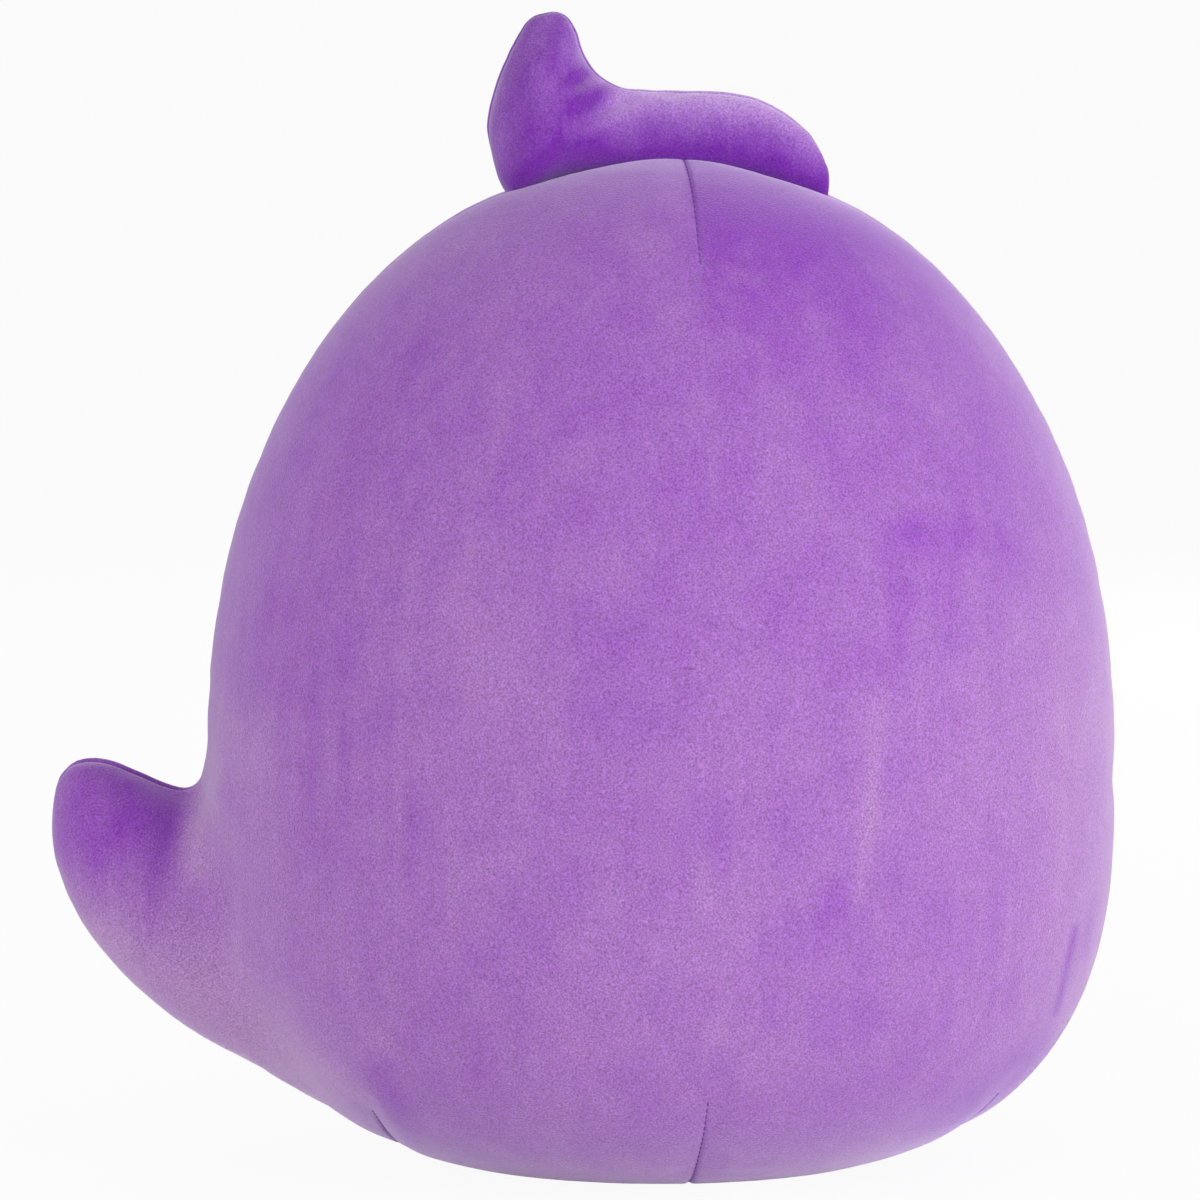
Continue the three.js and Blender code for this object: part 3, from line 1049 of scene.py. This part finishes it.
tuft_velour = velour_material(
    "tuft_velour", brushed_up=paint(121, 42, 167), brushed_down=paint(196, 150, 224)
)
for face, toward in (("back", 1), ("front", -1)):
    piece = panel(tuft, f"tuft_{face}_cover", toward)
    set_lie_and_painted_light(piece, tuft_lie_and_painted_light(points_of(piece.data)))
    piece.data.materials.append(tuft_velour)
    flop(piece)
    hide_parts(f"tuft_{face}_panel")
tuft_fibre = filling("tuft_fibre", tuft_inner_form, tuft_filling_inset)
flop(tuft_fibre)
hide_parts("tuft_filling")
free_edge = runs(edge_loop(tuft), lambda point: point.z > crown_at(point.x) + tuft_free_height)
tuft_stitches = sewn("tuft_seam_stitches", free_edge)
flop(tuft_stitches)
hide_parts("tuft_seam_thread")

# Face
# Two plain oval eyes and an oval mouth, worked in dark floss on the front panel before it was sewn up.
# Each is a satin stitch, close threads from side to side, over one sheet of soft backing behind the cloth.
floss_pitch = 0.00042
floss_thickness = 0.00056
floss_rise = 0.0007
floss_crown = 0.85
floss_flank_power = 4
floss_points = 14
floss_uneven = 0.015
floss_seed = 7
clear_of_toy = 0.1


# Satin stitch in an oval: threads side by side up the oval, laid on the cloth and plump in the middle
satin = bpy.data.node_groups.new("satin_oval", "GeometryNodeTree")
satin.interface.new_socket("Cloth", in_out="INPUT", socket_type="NodeSocketGeometry")
satin.interface.new_socket("Centre", in_out="INPUT", socket_type="NodeSocketVector")
for name in ("Width", "Height", "Pitch", "Thickness", "Rise"):
    satin.interface.new_socket(name, in_out="INPUT", socket_type="NodeSocketFloat")
satin.interface.new_socket("Points", in_out="INPUT", socket_type="NodeSocketInt")
satin.interface.new_socket("Floss", in_out="INPUT", socket_type="NodeSocketMaterial")
satin.interface.new_socket("Stitches", in_out="OUTPUT", socket_type="NodeSocketGeometry")
given = put(satin, "NodeGroupInput").outputs
count = put(satin, "ShaderNodeMath", {0: given["Height"], 1: given["Pitch"]}, operation="DIVIDE").outputs[0]
foot = weighted(satin, (given["Height"], -0.5), (given["Pitch"], 0.5))
lowest = put(satin, "ShaderNodeCombineXYZ", {2: foot}).outputs[0]
step = put(satin, "ShaderNodeCombineXYZ", {2: given["Pitch"]}).outputs[0]
inputs = {"Count": count, "Start Location": lowest, "Offset": step}
rows = put(satin, "GeometryNodeMeshLine", inputs).outputs[0]
here = put(satin, "GeometryNodeInputPosition").outputs[0]
up = put(satin, "ShaderNodeSeparateXYZ", {0: here}).outputs[2]
level = put(satin, "ShaderNodeMath", {0: up, 1: given["Height"]}, operation="DIVIDE").outputs[0]
squared = put(satin, "ShaderNodeMath", {0: level, 1: level}, operation="MULTIPLY").outputs[0]
left_over = weighted(satin, (1, 1), (squared, -4))
round_share = put(satin, "ShaderNodeMath", {0: left_over}, operation="SQRT").outputs[0]
row_width = put(satin, "ShaderNodeMath", {0: round_share, 1: given["Width"]}, operation="MULTIPLY").outputs[0]
inputs = {2: 0.5 - floss_uneven, 3: 0.5 + floss_uneven, 8: floss_seed}
uneven = put(satin, "FunctionNodeRandomValue", inputs, data_type="FLOAT").outputs[1]
reach = put(satin, "ShaderNodeMath", {0: row_width, 1: uneven}, operation="MULTIPLY").outputs[0]
span = put(satin, "GeometryNodeCurvePrimitiveLine", {"Start": (-1, 0, 0), "End": (1, 0, 0)}).outputs[0]
fine = put(satin, "GeometryNodeResampleCurve", {"Curve": span, "Count": given["Points"]}).outputs[0]
size = put(satin, "ShaderNodeCombineXYZ", {0: reach, 1: 1, 2: 1}).outputs[0]
inputs = {"Points": rows, "Instance": fine, "Scale": size}
laid = put(satin, "GeometryNodeInstanceOnPoints", inputs).outputs[0]
threads = put(satin, "GeometryNodeRealizeInstances", {"Geometry": laid}).outputs[0]
before = put(satin, "ShaderNodeVectorMath", {0: here, 1: given["Centre"]}, operation="ADD").outputs[0]
inputs = {"Target Geometry": given["Cloth"], "Source Position": before}
inputs.update({"Ray Direction": (0, 1, 0), "Ray Length": 1})
on_cloth = put(satin, "GeometryNodeRaycast", inputs).outputs
along = put(satin, "GeometryNodeSplineParameter").outputs["Factor"]
from_middle = weighted(satin, (along, 2), (1, -1))
inputs = {0: from_middle, 1: floss_flank_power}
flank = put(satin, "ShaderNodeMath", inputs, operation="POWER").outputs[0]
plump = weighted(satin, (1, floss_crown), (flank, -1))
lift = put(satin, "ShaderNodeMath", {0: plump, 1: given["Rise"]}, operation="MULTIPLY").outputs[0]
inputs = {0: on_cloth["Hit Normal"], "Scale": lift}
raised = put(satin, "ShaderNodeVectorMath", inputs, operation="SCALE").outputs[0]
inputs = {0: on_cloth["Hit Position"], 1: raised}
settled = put(satin, "ShaderNodeVectorMath", inputs, operation="ADD").outputs[0]
sewn_down = put(satin, "GeometryNodeSetPosition", {"Geometry": threads, "Position": settled}).outputs[0]
radius = put(satin, "ShaderNodeMath", {0: given["Thickness"], 1: 0.5}, operation="MULTIPLY").outputs[0]
ring = put(satin, "GeometryNodeCurvePrimitiveCircle", {"Resolution": 6, "Radius": radius}).outputs[0]
inputs = {"Curve": sewn_down, "Profile Curve": ring, "Fill Caps": True}
tubes = put(satin, "GeometryNodeCurveToMesh", inputs).outputs[0]
solid = put(satin, "GeometryNodeRealizeInstances", {"Geometry": tubes}).outputs[0]
dyed = put(satin, "GeometryNodeSetMaterial", {"Geometry": solid, "Material": given["Floss"]}).outputs[0]
put(satin, "NodeGroupOutput", {"Stitches": dyed})

dark_floss = fibre_material(
    "dark_floss", dark=paint(22, 17, 28), pale=paint(46, 37, 56),
    grains=(300, 2500, 2500), contrast=0.3, relief=0.0001, roughness=0.45,
)
for part in ("left_eye", "right_eye", "mouth"):
    low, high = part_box(part + "_embroidery")
    centre = (low + high) / 2
    centre.y = cad_box[0][1] - clear_of_toy
    values = {
        "Centre": centre, "Width": high.x - low.x, "Height": high.z - low.z, "Pitch": floss_pitch,
        "Thickness": floss_thickness, "Rise": floss_rise, "Points": floss_points, "Floss": dark_floss,
    }
    piece = grown(new_piece(part + "_satin", front_cover.data.copy()), satin, values)
    piece.data.polygons.foreach_set("use_smooth", [True] * len(piece.data.polygons))
    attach(piece, "body")
    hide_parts(part + "_embroidery")

backing_felt = fibre_material(
    "backing_felt", dark=paint(214, 210, 202), pale=paint(236, 233, 226),
    grains=(700, 700, 700), contrast=0.2, relief=0.0002, roughness=0.95,
)
backing_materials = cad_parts["face_backing"].data.materials
backing_materials.clear()
backing_materials.append(backing_felt)

# Studio
# A pale paper floor that runs out of view under large soft lamps, the strongest on the side away
# from the tail. The camera stands behind the toy, far off and a little above it.
floor_reach = 80
paper_colour = paint(247, 247, 247)
paper_glow = 0.93
room_light = 0.73
ceiling_shade = 0.58
camera_distance = 2.3
camera_elevation = math.radians(6)
camera_aim = Vector((0.0206, seam_y, 0.1908))
image_width = 1200
focal_pixels = 6750
lamp_aim = Vector((0, seam_y, 0.18))
lamps = {
    "key_lamp": ((-1.7, 1.1, 0.45), 1.2, 22.5),
    "fill_lamp": ((1.5, 1.5, 0.4), 1.2, 13),
    "top_lamp": ((-0.2, 0.3, 1.9), 1.2, 2.8),
    "front_lamp": ((-0.9, -1.6, 0.8), 1.2, 11),
}

square = [(-1, -1), (1, -1), (1, 1), (-1, 1)]
corners = [(floor_reach * x, floor_reach * y, 0) for x, y in square]
floor_mesh = bpy.data.meshes.new("floor")
floor_mesh.from_pydata(corners, [], [(0, 1, 2, 3)])
floor = new_piece("floor", floor_mesh)


def plain_view(tree):
    """1 for what the camera sees, straight, in a reflection or through something, and 0 for light."""
    ray = put(tree, "ShaderNodeLightPath").outputs
    inputs = {0: ray["Is Camera Ray"], 1: ray["Is Glossy Ray"]}
    seen = put(tree, "ShaderNodeMath", inputs, operation="MAXIMUM").outputs[0]
    inputs = {0: seen, 1: ray["Is Transmission Ray"]}
    return put(tree, "ShaderNodeMath", inputs, operation="MAXIMUM").outputs[0]


paper = bpy.data.materials.new("paper")
paper.use_nodes = True
tree = paper.node_tree
tree.nodes.clear()
matte = put(tree, "ShaderNodeBsdfDiffuse", {"Color": paper_colour}).outputs[0]
white = put(tree, "ShaderNodeEmission", {"Strength": 1}).outputs[0]
share = weighted(tree, (plain_view(tree), paper_glow))
mixed = put(tree, "ShaderNodeMixShader", {0: share, 1: matte, 2: white}).outputs[0]
put(tree, "ShaderNodeOutputMaterial", {"Surface": mixed})
floor_mesh.materials.append(paper)

room = bpy.data.worlds.new("room")
room.use_nodes = True
background = room.node_tree.nodes["Background"]
background.inputs["Color"].default_value = (1, 1, 1, 1)
way = put(room.node_tree, "ShaderNodeTexCoord").outputs["Generated"]
height = put(room.node_tree, "ShaderNodeSeparateXYZ", {0: way}).outputs[2]
overhead = put(room.node_tree, "ShaderNodeClamp", {0: height}).outputs[0]
soft = weighted(room.node_tree, (1, room_light), (overhead, -room_light * ceiling_shade))
inputs = {0: plain_view(room.node_tree), 2: soft, 3: 1.0}
strength = put(room.node_tree, "ShaderNodeMix", inputs, data_type="FLOAT").outputs[0]
room.node_tree.links.new(strength, background.inputs["Strength"])
bpy.context.scene.world = room

for name, (place, size, power) in lamps.items():
    lamp = bpy.data.lights.new(name, "AREA")
    lamp.shape = "DISK"
    lamp.size = size
    lamp.energy = power
    stand = bpy.data.objects.new(name, lamp)
    stand.location = place
    stand.rotation_euler = (lamp_aim - stand.location).to_track_quat("-Z", "Y").to_euler()
    bpy.context.scene.collection.objects.link(stand)

lens = bpy.data.cameras.new("camera")
lens.sensor_width = 36
lens.lens = lens.sensor_width * focal_pixels / image_width
camera = bpy.data.objects.new("camera", lens)
away = Vector((0, math.cos(camera_elevation), math.sin(camera_elevation)))
camera.location = camera_aim + camera_distance * away
camera.rotation_euler = (-away).to_track_quat("-Z", "Y").to_euler()
bpy.context.scene.collection.objects.link(camera)
bpy.context.scene.camera = camera
bpy.context.scene.view_settings.view_transform = "Standard"
